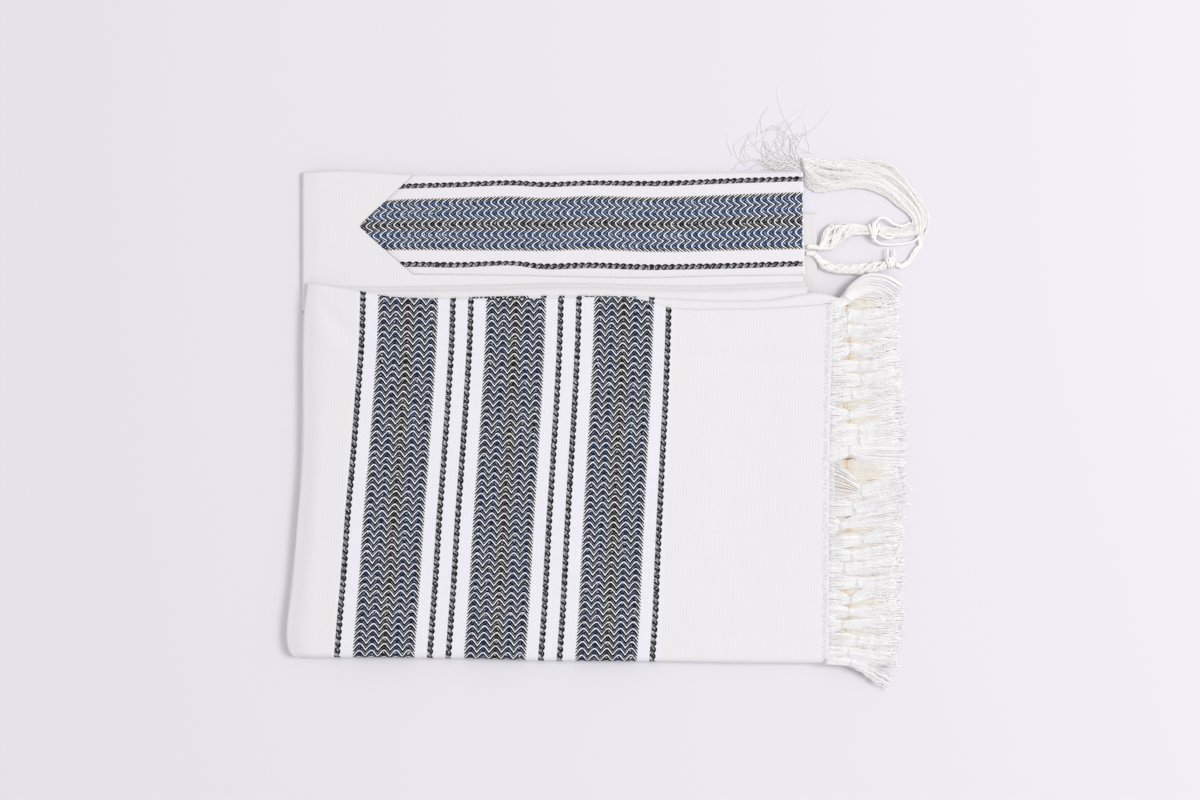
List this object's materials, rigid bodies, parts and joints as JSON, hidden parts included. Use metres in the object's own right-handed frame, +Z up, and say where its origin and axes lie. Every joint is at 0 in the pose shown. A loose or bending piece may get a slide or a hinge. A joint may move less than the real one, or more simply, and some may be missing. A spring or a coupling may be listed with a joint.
{
  "type": "tallit prayer shawl, folded flat",
  "caption": "Woven prayer shawl with blue and black stripes, a striped neckband, a knotted fringe and corner tassels, folded flat in a rectangle to rest on a surface.",
  "frame": {"origin": "centre of the base of the folded cloth and its fringe, on the surface that it lies on", "axes": "+Z up from the surface, +X along the folded cloth towards its fringe, +Y towards the edge with the neckband"},
  "size_m": [0.6159, 0.561, 0.0132],
  "materials": {
    "body_cloth": "matte woven wool, white with blue and black stripes",
    "neckband_cloth": "matte woven stripe, blue, black and white",
    "fringe_yarn": "soft off-white yarn",
    "tassel_string": "twisted cream wool string"
  },
  "bodies": {
    "root": {"upper_panel": "body_cloth", "front_panel": "body_cloth", "second_layer": "body_cloth", "inner_layers": "body_cloth", "corner_end": "body_cloth", "upper_hidden_layers": "body_cloth", "lower_hidden_layers": "body_cloth", "neckband": "neckband_cloth", "fringe": "fringe_yarn", "tassel_1_windings": "tassel_string", "tassel_1_knot": "tassel_string", "tassel_1_strands_outer": "tassel_string", "tassel_1_strands_inner": "tassel_string", "tassel_2_windings": "tassel_string", "tassel_2_knot": "tassel_string", "tassel_2_strands": "tassel_string", "tassel_tuft": "tassel_string"}
  },
  "joints": []
}
